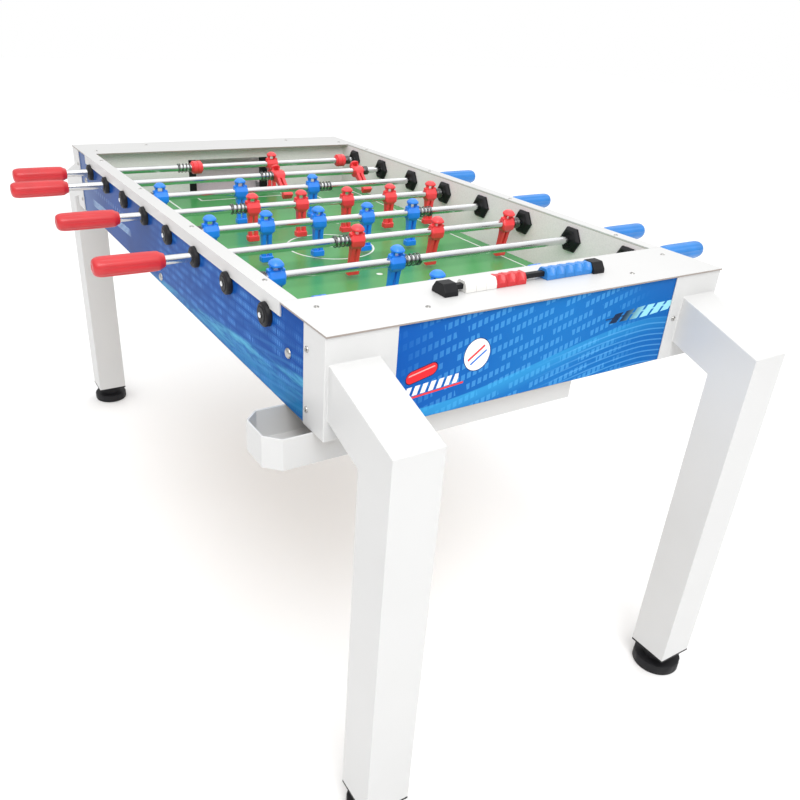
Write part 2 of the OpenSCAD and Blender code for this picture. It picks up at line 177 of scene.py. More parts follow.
class Finish:
    # a material under construction
    def __init__(self, name, **constants):
        self.material = bpy.data.materials.new(name)
        self.material.use_nodes = True
        self.tree = self.material.node_tree
        self.tree.nodes.clear()
        self.shader = self.tree.nodes.new("ShaderNodeBsdfPrincipled")
        end = self.tree.nodes.new("ShaderNodeOutputMaterial")
        self.tree.links.new(self.shader.outputs["BSDF"], end.inputs["Surface"])
        for name, value in constants.items():
            self.shader.inputs[name.replace("_", " ")].default_value = value
        place = self.tree.nodes.new("ShaderNodeTexCoord")
        self.place = Wire(self, place.outputs["Object"])
        split = self.tree.nodes.new("ShaderNodeSeparateXYZ")
        self.tree.links.new(place.outputs["Object"], split.inputs[0])
        self.x, self.y, self.z = (Wire(self, split.outputs[i]) for i in range(3))

    def add(self, kind, settings=None, values=None, out=0):
        node = self.tree.nodes.new(kind)
        for key, value in (settings or {}).items():
            setattr(node, key, value)
        for key, value in (values or {}).items():
            self.put(node.inputs[key], value)
        return Wire(self, node.outputs[out])

    def put(self, socket, value):
        if isinstance(value, Wire):
            self.tree.links.new(value.socket, socket)
        elif isinstance(value, tuple) and socket.type == "RGBA" and len(value) == 3:
            socket.default_value = (*value, 1)
        else:
            socket.default_value = value

    def noise(self, scale, detail=2.0, rough=0.5, where=None):
        values = {"Vector": where or self.place, "Scale": scale, "Detail": detail, "Roughness": rough}
        return self.add("ShaderNodeTexNoise", None, values)

    def mix(self, factor, low, high):
        values = {0: factor, 6: low, 7: high}
        return self.add("ShaderNodeMix", {"data_type": "RGBA", "clamp_factor": True}, values, 2)

    def stretch(self, size):
        return self.add("ShaderNodeMapping", None, {"Vector": self.place, "Scale": size})

    def set(self, **values):
        for name, value in values.items():
            self.put(self.shader.inputs[name.replace("_", " ")], value)
        return self

    def bump(self, height, distance, strength=1.0):
        values = {"Height": height, "Distance": distance, "Strength": strength}
        return self.set(Normal=self.add("ShaderNodeBump", None, values))


def distance(across, up):
    return (across * across + up * up).sqrt()


def dimmed(colour, share):
    return tuple(share * c for c in colour)


# finishes

paints = {
    "white": (0.62, 0.62, 0.615),
    "edgeBrown": (0.30, 0.25, 0.22),
    "laminate": (0.94, 0.87, 0.89),
    "deepBlue": (0.006, 0.072, 0.33),
    "midBlue": (0.012, 0.165, 0.48),
    "red": (0.94, 0.045, 0.055),
    "blue": (0.012, 0.240, 0.92),
    "ivory": (0.80, 0.79, 0.76),
    "black": (0.012, 0.012, 0.014),
    "chrome": (0.70, 0.71, 0.72),
    "zinc": (0.55, 0.55, 0.54),
    "grass": (0.050, 0.270, 0.085),
    "grassLight": (0.085, 0.350, 0.115),
    "chalk": (0.80, 0.84, 0.80),
    "rawBoard": (0.42, 0.31, 0.19),
}


def coatedSteel(name, edge=False):
    made = Finish(name, Roughness=0.38, Coat_Weight=0.15, Coat_Roughness=0.2, IOR=1.5)
    cloud = made.noise(3.0, 3.0)
    speck = made.noise(900.0, 2.0)
    colour = made.mix(cloud.ramp(0.35, 0.7), paints["white"], dimmed(paints["white"], 0.965))
    if edge:
        low = made.z < table["top"] - 0.0006
        colour = made.mix(low, colour, paints["edgeBrown"])
    made.set(Base_Color=colour, Roughness=0.34 + 0.10 * cloud + 0.04 * speck)
    return made.bump(speck, 0.00008, 0.5)


def laminateTone(made, share):
    fleck = made.noise(420.0, 3.0, 0.65)
    return fleck, made.mix(fleck.ramp(0.4, 0.65), paints["laminate"], dimmed(paints["laminate"], share))


def finishPanel(made, colour, inside, gloss):
    # a printed face, plain laminate where the mask is inside, and bare board on the long edges
    plain = laminateTone(made, 0.93)[1]
    edges = (made.z < table["panelLow"] + table["skin"]) + (made.z > table["panelTop"] - table["skin"])
    colour = made.mix(edges, made.mix(inside, colour, plain), paints["rawBoard"])
    fine = made.noise(260.0, 2.0)
    made.set(Base_Color=colour, Roughness=gloss + 0.30 * inside + 0.05 * fine)
    return made.bump(fine, 0.00006, 0.4)


def wordlessRows(along, up, pitch, height, angle):
    # slanted rows of little strokes in groups, in place of lettering
    c, s = math.cos(angle), math.sin(angle)
    p = along * c + up * s
    q = up * c - along * s
    row = (q / height).floor()
    inRow = (q / height).fract()
    inGroup = ((p + row * 0.37 * pitch) / pitch).fract()
    stroke = ((p - q * 0.25) / (pitch / 9.5)).fract()
    lines = (inRow > 0.24) * (inRow < 0.74)
    return lines * (inGroup < 0.80) * (stroke < 0.64)


panelHeight = table["panelTop"] - table["panelLow"]
endMarks = {  # places are (across from the panel's middle, height over the floor)
    "width": 0.721,
    "inner": 0.6845,
    "wordPitch": 0.104,
    "wordRow": 0.0185,
    "wordAngle": 15,
    "badge": (-0.1355, 0.7285),
    "badgeRadius": 0.0235,
    "badgeInner": 0.0175,
    "capsule": (-0.232, 0.717),
    "capsuleHalf": 0.017,
    "capsuleRadius": 0.0090,
    "slabHeight": 0.6925,
    "slabBar": 0.0135,
    "ruleHeight": 0.6825,
    "slabLean": 0.08,
    "sign": (0.212, 0.745),
    "signBar": 0.0245,
}
endInks = {
    "glow": (0.004, 0.06, 0.46),
    "words": (0.09, 0.38, 0.74),
    "band": (0.05, 0.40, 0.72),
    "waves": (0.13, 0.44, 0.78),
    "outline": (0.01, 0.02, 0.10),
    "badge": (0.86, 0.87, 0.88),
    "redStroke": (0.74, 0.05, 0.06),
    "blueStroke": (0.02, 0.16, 0.62),
    "capsuleOutline": (0.02, 0.02, 0.05),
    "capsule": (0.76, 0.03, 0.04),
    "shine": (0.86, 0.40, 0.38),
    "slab": (0.80, 0.80, 0.82),
    "rule": (0.76, 0.05, 0.05),
    "signDark": (0.015, 0.03, 0.07),
    "signPale": (0.30, 0.68, 0.80),
}


def endGround(made, along, u, v):
    # blue ground, wordless rows, a pale band that rises to the right and fine waves under it
    m, ink = endMarks, endInks
    cloud = made.noise(7.0, 3.0)
    glow = (1 - abs(u - 0.55) * 1.7).clamp()
    colour = made.mix(glow * 0.8 + cloud * 0.25, paints["deepBlue"], paints["midBlue"])
    colour = made.mix((1 - u * 2.4).clamp() * 0.35, colour, ink["glow"])
    words = wordlessRows(along, made.z, m["wordPitch"], m["wordRow"], math.radians(m["wordAngle"]))
    fade = u.ramp(0.08, 0.3) * (1 - u.ramp(0.66, 0.82))
    colour = made.mix(words * fade * 0.46, colour, ink["words"])
    crest = 0.11 + 0.46 * u.ramp(0.16, 0.84) - 0.10 * u.ramp(0.80, 1.05)
    below = crest - v
    band = below.ramp(0.0, 0.015) * (1 - below.ramp(0.02, 0.26))
    streak = made.noise(60.0, 3.0, 0.6, made.stretch((1.0, 0.16, 1.0)))
    bandStrength = band * (0.75 - u * 0.62).clamp() * (0.75 + 0.5 * streak)
    colour = made.mix(bandStrength, colour, ink["band"])
    waves = ((below * 30.0 - u * 2.2) * math.pi).sin().ramp(0.55, 0.95)
    waveZone = below.ramp(0.0, 0.04) * u.ramp(0.44, 0.66) * (1 - u.ramp(0.97, 1.0))
    return made.mix(waves * waveZone * 0.42, colour, ink["waves"])


def endBadge(made, along, colour):
    # a round badge with two strokes
    m, ink = endMarks, endInks
    across, up = along - m["badge"][0], made.z - m["badge"][1]
    ring = distance(across, up * 0.94)
    colour = made.mix(ring < m["badgeRadius"] + 0.0012, colour, ink["outline"])
    colour = made.mix(ring < m["badgeRadius"], colour, ink["badge"])
    inner = ring < m["badgeInner"]
    redStroke = abs(up - across * 0.7 - 0.004) < 0.0022
    blueStroke = abs(up - across * 0.7 + 0.007) < 0.0018
    colour = made.mix(redStroke * inner, colour, ink["redStroke"])
    return made.mix(blueStroke * inner, colour, ink["blueStroke"])


def endCapsule(made, along, colour):
    # a plain capsule over a row of slanted bars and a rule
    m, ink = endMarks, endInks
    across = along - m["capsule"][0]
    tilt = made.z - m["capsule"][1] - across * 0.22
    capsule = distance((abs(across) - m["capsuleHalf"]).larger(0.0), tilt)
    colour = made.mix(capsule < m["capsuleRadius"] + 0.0014, colour, ink["capsuleOutline"])
    colour = made.mix(capsule < m["capsuleRadius"], colour, ink["capsule"])
    colour = made.mix((capsule < 0.0060) * (tilt > 0.0022) * (tilt < 0.0042), colour, ink["shine"])
    slab = abs(made.z - m["slabHeight"] - across * m["slabLean"]) < 0.0072
    bars = (((along - made.z * 0.35) / m["slabBar"]).fract() < 0.62) * (abs(along + 0.216) < 0.050)
    colour = made.mix(slab * bars, colour, ink["slab"])
    rule = abs(made.z - m["ruleHeight"] - across * m["slabLean"]) < 0.0016
    return made.mix(rule * (abs(along + 0.208) < 0.052), colour, ink["rule"])


def endSign(made, along, colour):
    # leaning bars at the right, from dark to pale, with a thin tail
    m, ink = endMarks, endInks
    across = along - m["sign"][0]
    up = made.z - m["sign"][1] - across * 0.05
    leaning = across - up * 0.8
    cell = (leaning / m["signBar"]).fract()
    bars = (abs(up) < 0.0100 - abs(across) * 0.035) * (cell < 0.74) * (abs(leaning) < 3 * m["signBar"])
    pale = made.mix(leaning.ramp(-0.05, 0.01), ink["signDark"], ink["signPale"])
    colour = made.mix(bars, colour, pale)
    tail = (abs(up - 0.0015) < 0.0012) * (abs(across) < 0.088)
    return made.mix(tail * 0.8, colour, pale)


def endPrint():
    made = Finish("endPrint", Roughness=0.3, IOR=1.12)
    along = made.y * made.x.sign()  # left to right as seen from outside
    u = along / endMarks["width"] + 0.5
    v = (made.z - table["panelLow"]) / panelHeight
    colour = endGround(made, along, u, v)
    for addMark in (endBadge, endCapsule, endSign):
        colour = addMark(made, along, colour)
    return finishPanel(made, colour, abs(made.x) < endMarks["inner"], 0.20)


sideMarks = {
    "halfLength": 0.7,
    "course": 0.105,  # a share of the panel's height
    "brick": 0.062,
    "stroke": 0.0062,
    "dash": 0.011,
    "dot": 0.019,
}
sideInks = {
    "dark": (0.004, 0.030, 0.150),
    "light": (0.006, 0.060, 0.280),
    "right": (0.006, 0.072, 0.330),
    "brick": (0.03, 0.15, 0.50),
    "stroke": (0.10, 0.32, 0.70),
    "sweep": (0.020, 0.200, 0.440),
    "crest": (0.10, 0.42, 0.62),
    "fan": (0.08, 0.34, 0.66),
    "dash": (0.42, 0.62, 0.84),
    "dot": (0.30, 0.50, 0.82),
    # painted reflection: the grey-blue sheen over the left end
    "paintedReflection": (0.16, 0.25, 0.46),
}


def sideBricks(made, along, u, v):
    # courses of faint bricks, each course set on by half a brick
    m, ink = sideMarks, sideInks
    cloud = made.noise(5.0, 3.0)
    colour = made.mix(cloud.ramp(0.3, 0.75), ink["dark"], ink["light"])
    colour = made.mix(u.ramp(0.15, 0.75) * 0.85, colour, ink["right"])
    course = (v / m["course"]).floor()
    inCourse = (v / m["course"]).fract()
    brick = (along / m["brick"] + course * 0.5 + cloud * 0.12).fract()
    inside = (inCourse > 0.14) * (brick > 0.05)
    tone = made.noise(26.0, 1.0, 0.5)
    zone = u.ramp(0.42, 0.58) * (1 - u.ramp(0.90, 1.0)) * (1 - v.ramp(0.78, 0.95))
    colour = made.mix(inside * zone * (tone.ramp(0.35, 0.7) * 0.45 + 0.10), colour, ink["brick"])
    strokes = ((along / m["stroke"]).fract() < 0.6) * (abs(inCourse - 0.55) < 0.22) * inside
    return made.mix(strokes * zone * (tone.ramp(0.40, 0.66) * 0.42 + 0.08), colour, ink["stroke"])


def sideSweep(made, u, v, colour):
    # the pale sweep that rises towards the right end
    ink = sideInks
    rise = (u - 0.36).larger(0.0) / 0.64
    below = 0.03 + 0.46 * rise ** 1.6 - v
    streak = made.noise(34.0, 5.0, 0.75, made.stretch((0.10, 1.0, 1.0)))
    band = below.ramp(-0.06, 0.12) * u.ramp(0.26, 0.5)
    shade = (band * (0.05 + 1.3 * streak.ramp(0.30, 0.70))).clamp()
    colour = made.mix(shade * 0.85, colour, ink["sweep"])
    bright = below.ramp(-0.02, 0.03) * (1 - below.ramp(0.05, 0.24)) * u.ramp(0.40, 0.6)
    colour = made.mix(bright * (0.05 + 0.95 * streak.ramp(0.40, 0.62)), colour, ink["crest"])
    fan = ((v * 0.9 - u * 1.3) * 70.0).sin().ramp(0.2, 0.9)
    return made.mix(fan * u.ramp(0.74, 0.9) * below.ramp(-0.35, -0.05) * 0.22, colour, ink["fan"])


def sideDashesAndReflection(made, along, u, v, colour):
    # short pale dashes low down, towards the left end, and a painted reflection: a grey-blue sheen over the
    # left end
    m, ink = sideMarks, sideInks
    zone = u.ramp(0.10, 0.13) * (1 - u.ramp(0.33, 0.36))
    dash = (((along + v * 0.02) / m["dash"]).fract() < 0.55) * (abs(v - 0.30 - (u - 0.2) * 0.2) < 0.055)
    colour = made.mix(dash * zone * 0.80, colour, ink["dash"])
    dots = (((along - v * 0.03) / m["dot"]).fract() < 0.30) * (abs(v - 0.52) < 0.03)
    colour = made.mix(dots * zone * 0.30, colour, ink["dot"])
    # painted reflection: a grey-blue sheen that fades in towards the left end
    return made.mix((1 - u.ramp(0.02, 0.22)) * 0.45, colour, ink["paintedReflection"])


def sidePrint():
    made = Finish("sidePrint", Roughness=0.3, IOR=1.08)
    along = made.x * made.y.sign() * -1.0  # left to right as seen from outside
    u = (along + sideMarks["halfLength"]) / (2 * sideMarks["halfLength"])
    v = (made.z - table["panelLow"]) / panelHeight
    colour = sideBricks(made, along, u, v)
    colour = sideSweep(made, u, v, colour)
    colour = sideDashesAndReflection(made, along, u, v, colour)
    return finishPanel(made, colour, abs(made.y) < table["wallY"] + 0.0005, 0.18)


pitchMarks = {  # the two spots are (along, across, radius)
    "line": 0.0044,
    "circle": 0.097,
    "goalLine": 0.575,
    "boxDepth": 0.190,
    "boxHalf": 0.200,
    "smallDepth": 0.080,
    "smallHalf": 0.120,
    "spot": (0.213, 0.0, 0.0065),
    "sideSpot": (0.175, 0.112, 0.0055),
    "middleSpot": 0.006,
    "touch": 0.330,
    "corner": 0.045,
}


def fieldLines(made):
    m = pitchMarks
    ax, ay = abs(made.x), abs(made.y)
    half = m["line"] / 2
    front = m["goalLine"] - ax  # distance in from the goal line
    onField = (ay < m["touch"]) * (front > 0.0)
    r = distance(made.x, made.y)
    lines = (abs(r - m["circle"]) < half) + (r < m["middleSpot"]) + (ax < half) * onField
    for depth, width in ((m["boxDepth"], m["boxHalf"]), (m["smallDepth"], m["smallHalf"])):
        lines = lines + (abs(front - depth) < half) * (ay < width)
        lines = lines + (abs(ay - width) < half) * (front < depth) * (front > 0.0)
    for along, across, radius in (m["spot"], m["sideSpot"]):
        lines = lines + (distance(ax - along, ay - across) < radius)
    corner = distance(ax - m["goalLine"], ay - m["touch"])
    lines = lines + (abs(corner - m["corner"]) < half) * onField
    lines = lines + (abs(front) < half) * (ay < m["touch"])
    return (lines + (abs(ay - m["touch"]) < half) * (front > 0.0)).clamp()


def grassPrint():
    made = Finish("grassPrint", Roughness=0.3, Specular_IOR_Level=0.22)
    bands = ((made.x / table["rodPitch"] + 0.5) * math.pi).sin().ramp(-0.25, 0.25)
    blades = made.noise(700.0, 3.0, 0.7, made.stretch((1.0, 0.25, 1.0)))
    cloud = made.noise(9.0, 3.0)
    colour = made.mix(bands * 0.75 + cloud * 0.25, paints["grass"], paints["grassLight"])
    colour = made.mix(blades.ramp(0.35, 0.7) * 0.28, colour, (0.10, 0.38, 0.10))
    face = table["fieldHeight"] - table["skin"]
    colour = made.mix(fieldLines(made) * (made.z > face) * 0.95, colour, paints["chalk"])
    colour = made.mix(made.z < face, colour, paints["rawBoard"])
    made.set(Base_Color=colour, Roughness=0.20 + 0.10 * blades)
    return made.bump(blades, 0.00005, 0.3)


def plainLaminate():
    made = Finish("greyLaminate", Roughness=0.4)
    fleck, colour = laminateTone(made, 0.92)
    made.set(Base_Color=colour, Roughness=0.36 + 0.12 * fleck)
    return made.bump(fleck, 0.00005, 0.4)


def rawBoard():
    made = Finish("rawBoard", Roughness=0.7)
    chips = made.noise(160.0, 5.0, 0.75)
    colour = made.mix(chips.ramp(0.3, 0.7), paints["rawBoard"], (0.60, 0.47, 0.31))
    made.set(Base_Color=colour, Roughness=0.62 + 0.2 * chips)
    return made.bump(chips, 0.0003, 0.6)


def mouldedPlastic(name, colour, rough, grain, coat=0.0, dark=0.8, bend=1.5):
    made = Finish(name, Roughness=rough, Coat_Weight=coat, Coat_Roughness=0.08, IOR=bend)
    cloud = made.noise(22.0, 3.0)
    fine = made.noise(grain, 2.0, 0.6)
    mixed = made.mix(cloud.ramp(0.3, 0.75), colour, dimmed(colour, dark))
    made.set(Base_Color=mixed, Roughness=rough + 0.10 * fine - 0.05 * cloud)
    return made.bump(fine, 0.00012, 0.5)


def polishedSteel():
    made = Finish("polishedTube", Metallic=1.0, Roughness=0.16)
    lengthwise = made.noise(500.0, 3.0, 0.6, made.stretch((1.0, 0.02, 1.0)))
    smudge = made.noise(14.0, 3.0)
    colour = made.mix(smudge.ramp(0.4, 0.8) * 0.5, paints["chrome"], (0.56, 0.57, 0.58))
    made.set(Base_Color=colour, Roughness=0.09 + 0.10 * lengthwise + 0.05 * smudge)
    return made.bump(lengthwise, 0.00003, 0.4)


def springSteel():
    made = Finish("springSteel", Metallic=1.0, Roughness=0.3)
    drawn = made.noise(300.0, 2.0)
    # the wire's colour is darkened as painted shade, standing in for the shadows between the coils; the
    # noise varies it at random
    colour = made.mix(drawn, (0.26, 0.26, 0.26), (0.12, 0.12, 0.12))
    made.set(Base_Color=colour, Roughness=0.24 + 0.14 * drawn)
    return made.bump(drawn, 0.00004, 0.4)


def platedScrew():
    made = Finish("zincPlate", Metallic=1.0, Roughness=0.32)
    grain = made.noise(260.0, 3.0)
    colour = made.mix(grain, paints["zinc"], (0.34, 0.33, 0.31))
    made.set(Base_Color=colour, Roughness=0.26 + 0.18 * grain)
    return made.bump(grain, 0.00004, 0.4)


finishes = {
    "white": coatedSteel("whitePowderCoat"),
    "endTop": coatedSteel("whiteTopBrownEdge", edge=True),
    "endPrint": endPrint(),
    "sidePrint": sidePrint(),
    "grass": grassPrint(),
    "laminate": plainLaminate(),
    "board": rawBoard(),
    "tube": polishedSteel(),
    "spring": springSteel(),
    "screw": platedScrew(),
    "red": mouldedPlastic("redPlastic", paints["red"], 0.28, 600.0, 0.35, 0.86),
    "blue": mouldedPlastic("bluePlastic", paints["blue"], 0.28, 600.0, 0.35, 0.84),
    "redGrip": mouldedPlastic("redGrip", (0.60, 0.022, 0.028), 0.36, 900.0, 0.15, 0.88),
    "blueGrip": mouldedPlastic("blueGrip", (0.022, 0.215, 0.62), 0.36, 900.0, 0.15, 0.86),
    "ivory": mouldedPlastic("whitePlastic", paints["ivory"], 0.30, 600.0, 0.2, 0.96),
    "black": mouldedPlastic("blackPlastic", paints["black"], 0.46, 800.0, 0.0, 0.7, 1.32),
    "chute": mouldedPlastic("greyChute", (0.42, 0.43, 0.44), 0.5, 500.0, 0.0, 0.92),
}
finishes = {name: made.material for name, made in finishes.items()}
print("finishes made:", len(finishes))


# mesh helpers

millimetre = 0.001


def newObject(name, mesh):
    made = bpy.data.objects.new(name, mesh)
    bpy.context.scene.collection.objects.link(made)
    return made


def meshFrom(bm, name, sharp=35):
    bmesh.ops.remove_doubles(bm, verts=bm.verts, dist=1e-7)
    bmesh.ops.recalc_face_normals(bm, faces=bm.faces)
    mesh = bpy.data.meshes.new(name)
    bm.to_mesh(mesh)
    bm.free()
    return softShade(mesh, sharp)


def softShade(mesh, sharp=35):
    mesh.shade_smooth()
    mesh.set_sharp_from_angle(angle=math.radians(sharp))
    return mesh


def bakePlain(made, name, sharp=35):
    # the evaluated shape as a plain mesh, with the modifiers taken off
    graph = bpy.context.evaluated_depsgraph_get()
    shape = made.evaluated_get(graph)
    mesh = bpy.data.meshes.new_from_object(shape, preserve_all_data_layers=True, depsgraph=graph)
    mesh.name = name
    made.modifiers.clear()
    made.data = mesh
    softShade(mesh, sharp)
    return made


def hand(made, body, slotName, *nodes):
    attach(made, body)
    if nodes:
        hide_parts(*nodes)
    return made


def skin(bm, rings, closed=False):
    # faces from each ring to the next, where a ring of one point is a pole
    sides = max(len(ring) for ring in rings)
    for low, high in zip(rings, rings[1:] + (rings[:1] if closed else [])):
        for i in range(sides):
            j = (i + 1) % sides
            corners = (low[i % len(low)], low[j % len(low)], high[j % len(high)], high[i % len(high)])
            corners = list(dict.fromkeys(corners))
            if len(corners) > 2:
                bm.faces.new(corners)


def skinAndCap(bm, rings):
    skin(bm, rings)
    bm.faces.new(rings[0])
    bm.faces.new(rings[-1])


def plainRing(radius, height, angle):
    return radius, height


def addTurned(bm, profile, sides=40, place=Matrix(), shape=plainRing):
    # profile is (radius, height) from the axis round to the axis or back to its own start, and
    # shape moves a point by its angle; an open first or last ring is left for the caller to cap
    rings = []
    for radius, height in profile:
        ring = []
        for i in range(sides if radius > 1e-9 else 1):
            angle = 2 * math.pi * i / sides
            r, h = shape(radius, height, angle)
            ring.append(bm.verts.new(place @ Vector((r * math.cos(angle), r * math.sin(angle), h))))
        rings.append(ring)
    skin(bm, rings, closed=len(rings[0]) > 1 and len(rings[-1]) > 1)
    return rings


def addLoft(bm, stations, power, sides):
    # stations are (height, middleX, middleY, halfX, halfY) in millimetres
    rings = []
    for height, middleX, middleY, halfX, halfY in stations:
        ring = []
        for i in range(sides):
            angle = 2 * math.pi * (i + 0.5) / sides
            c, s = math.cos(angle), math.sin(angle)
            x = math.copysign(abs(c) ** (2 / power), c) * halfX + middleX
            y = math.copysign(abs(s) ** (2 / power), s) * halfY + middleY
            ring.append(bm.verts.new(Vector((x, y, height)) * millimetre))
        rings.append(ring)
    skinAndCap(bm, rings)


def addFacets(bm, stations):
    # stations are (height, middleX, middleY, halfX, halfY, chamfer) in millimetres: chamfered boxes
    rings = []
    for height, middleX, middleY, halfX, halfY, cut in stations:
        outline = [
            (halfX, cut - halfY), (halfX, halfY - cut), (halfX - cut, halfY), (cut - halfX, halfY),
            (-halfX, halfY - cut), (-halfX, cut - halfY), (cut - halfX, -halfY), (halfX - cut, -halfY),
        ]
        corners = [Vector((x + middleX, y + middleY, height)) for x, y in outline]
        rings.append([bm.verts.new(corner * millimetre) for corner in corners])
    skinAndCap(bm, rings)


# Geometry Nodes: one tree sets copies of a piece at points, the other winds a spring


def newTree(name, sockets):
    tree = bpy.data.node_groups.new(name, "GeometryNodeTree")
    tree.interface.new_socket("Geometry", in_out="INPUT", socket_type="NodeSocketGeometry")
    for label, kind, value in sockets:
        socket = tree.interface.new_socket(label, in_out="INPUT", socket_type=kind)
        if value is not None:
            socket.default_value = value
    tree.interface.new_socket("Geometry", in_out="OUTPUT", socket_type="NodeSocketGeometry")
    return tree


def treeNode(tree, kind, values=None, **settings):
    node = tree.nodes.new(kind)
    for key, value in settings.items():
        setattr(node, key, value)
    for key, value in (values or {}).items():
        if isinstance(value, bpy.types.NodeSocket):
            tree.links.new(value, node.inputs[key])
        else:
            node.inputs[key].default_value = value
    return node


def closeTree(tree, geometry, finish):
    real = treeNode(tree, "GeometryNodeRealizeInstances", {0: geometry})
    painted = treeNode(tree, "GeometryNodeSetMaterial", {"Geometry": real.outputs[0], "Material": finish})
    treeNode(tree, "NodeGroupOutput", {0: painted.outputs[0]})


def makeRepeatTree():
    tree = newTree("copiesAtPoints", [
        ("Piece", "NodeSocketObject", None),
        ("Size", "NodeSocketFloat", 1.0),
        ("Finish", "NodeSocketMaterial", None),
    ])
    start = tree.nodes.new("NodeGroupInput")
    piece = {"Object": start.outputs["Piece"]}
    info = treeNode(tree, "GeometryNodeObjectInfo", piece, transform_space="ORIGINAL")
    turned = treeNode(tree, "GeometryNodeInputNamedAttribute", {"Name": "turn"}, data_type="FLOAT_VECTOR")
    asTurn = treeNode(tree, "FunctionNodeEulerToRotation", {0: turned.outputs[0]})
    copies = treeNode(tree, "GeometryNodeInstanceOnPoints", {
        "Points": start.outputs["Geometry"],
        "Instance": info.outputs["Geometry"],
        "Rotation": asTurn.outputs[0],
        "Scale": start.outputs["Size"],
    })
    closeTree(tree, copies.outputs[0], start.outputs["Finish"])
    return tree


def makeSpringTree():
    tree = newTree("woundSpring", [
        ("Coils", "NodeSocketFloat", 4.0),
        ("Length", "NodeSocketFloat", 0.036),
        ("Radius", "NodeSocketFloat", 0.0098),
        ("Wire", "NodeSocketFloat", 0.002),
        ("Place", "NodeSocketVector", None),
        ("Finish", "NodeSocketMaterial", None),
    ])
    start = tree.nodes.new("NodeGroupInput")

    def maths(operation, *values):
        return treeNode(tree, "ShaderNodeMath", dict(enumerate(values)), operation=operation).outputs[0]

    radius, wire = start.outputs["Radius"], start.outputs["Wire"]
    free = maths("SUBTRACT", start.outputs["Length"], maths("MULTIPLY", wire, 3.0))
    joined = tree.nodes.new("GeometryNodeJoinGeometry")
    base = maths("MULTIPLY", wire, 0.5)
    for turns, rise, lift in (
        (1.0, wire, base),
        (start.outputs["Coils"], free, maths("ADD", base, wire)),
        (1.0, wire, maths("ADD", maths("ADD", base, wire), free)),
    ):
        coil = treeNode(tree, "GeometryNodeCurveSpiral", {
            "Resolution": 22,
            "Rotations": turns,
            "Start Radius": radius,
            "End Radius": radius,
            "Height": rise,
        })
        up = treeNode(tree, "ShaderNodeCombineXYZ", {2: lift})
        raised = {"Geometry": coil.outputs[0], "Translation": up.outputs[0]}
        moved = treeNode(tree, "GeometryNodeTransform", raised)
        tree.links.new(moved.outputs[0], joined.inputs[0])
    ring = treeNode(tree, "GeometryNodeCurvePrimitiveCircle", {"Resolution": 8, "Radius": base})
    tube = treeNode(tree, "GeometryNodeCurveToMesh", {
        "Curve": joined.outputs[0], "Profile Curve": ring.outputs[0], "Fill Caps": True,
    })
    laid = treeNode(tree, "GeometryNodeTransform", {
        "Geometry": tube.outputs[0],
        "Rotation": Euler((-math.pi / 2, 0, 0)),
        "Translation": start.outputs["Place"],
    })
    closeTree(tree, laid.outputs[0], start.outputs["Finish"])
    return tree


repeatTree = makeRepeatTree()
springTree = makeSpringTree()


def runTree(made, tree, name, sharp=35, **values):
    modifier = made.modifiers.new(name, "NODES")
    modifier.node_group = tree
    for item in tree.interface.items_tree:
        if item.in_out == "INPUT" and item.name in values:
            modifier[item.identifier] = values[item.name]
    return bakePlain(made, name, sharp)


def copiesOf(name, template, spots, finish, sharp=35):
    # spots are (place, (turnX, turnY, turnZ)) in metres and radians
    points = bpy.data.meshes.new(name)
    points.from_pydata([place for place, turn in spots], [], [])
    turns = points.attributes.new("turn", "FLOAT_VECTOR", "POINT")
    for value, (place, turn) in zip(turns.data, spots):
        value.vector = turn
    made = newObject(name, points)
    return runTree(made, repeatTree, name, sharp, Piece=template, Size=1.0, Finish=finish)


def template(bm, name, sharp=35):
    made = newObject(name, meshFrom(bm, name, sharp))
    templates.append(made)
    return made


templates = []


# sheet metal and moulded parts: merged copies of the CAD pieces with their edges eased


def easedCopy(node, width, finish, slotName):
    bm = bmesh.new()
    bm.from_mesh(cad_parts[node].data)
    bmesh.ops.remove_doubles(bm, verts=bm.verts, dist=1e-6)
    bmesh.ops.dissolve_limit(bm, angle_limit=math.radians(0.6), verts=bm.verts, edges=bm.edges)
    made = newObject(node + "_eased", meshFrom(bm, node + "_eased"))
    bevel = made.modifiers.new("edges", "BEVEL")
    bevel.width = width
    bevel.segments = 2
    bevel.limit_method = "ANGLE"
    bevel.angle_limit = math.radians(32)
    bakePlain(made, made.name, 12)
    made.data.materials.clear()
    made.data.materials.append(finish)
    return hand(made, "cabinet", slotName, node)


easedPieces = {f"leg_{number}": (0.0016, "white", "white_steel") for number in range(1, 5)}
easedPieces |= {  # (width of the eased edge, finish, slot)
    "side_rails": (0.0009, "white", "white_steel"),
    "end_tops": (0.0005, "endTop", "white_steel"),
    "ball_tray": (0.0010, "white", "white_steel"),
    "leg_plugs": (0.0008, "black", "black_plastic"),
    "goal_posts": (0.0008, "black", "black_plastic"),
    "scorer_frame": (0.0011, "black", "black_plastic"),
    "return_chute": (0.0006, "chute", "chute_grey"),
}
for node, (width, finish, slotName) in easedPieces.items():
    easedCopy(node, width, finishes[finish], slotName)
print("sheet metal eased:", len(easedPieces))

nodeFinishes = {
    "playfield": "grass",
    "field_bearers": "board",
    "side_panel_red": "sidePrint",
    "side_panel_blue": "sidePrint",
    "end_panel_near": "endPrint",
    "end_panel_far": "endPrint",
    "goal_walls": "laminate",
}
for node, finish in nodeFinishes.items():
    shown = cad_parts[node]
    if not shown.material_slots:
        shown.data.materials.append(finishes[finish])
    for place in shown.material_slots:
        place.material = finishes[finish]
print("CAD pieces painted:", len(nodeFinishes))


# players

player = {  # millimetres, with the rod's axis at the origin along Y
    "footHalfWidth": 13.0,
    "footHalfDepth": 8.0,
    "toe": -73.0,
    "legTop": -13.0,
}
collarBore = 0.00812


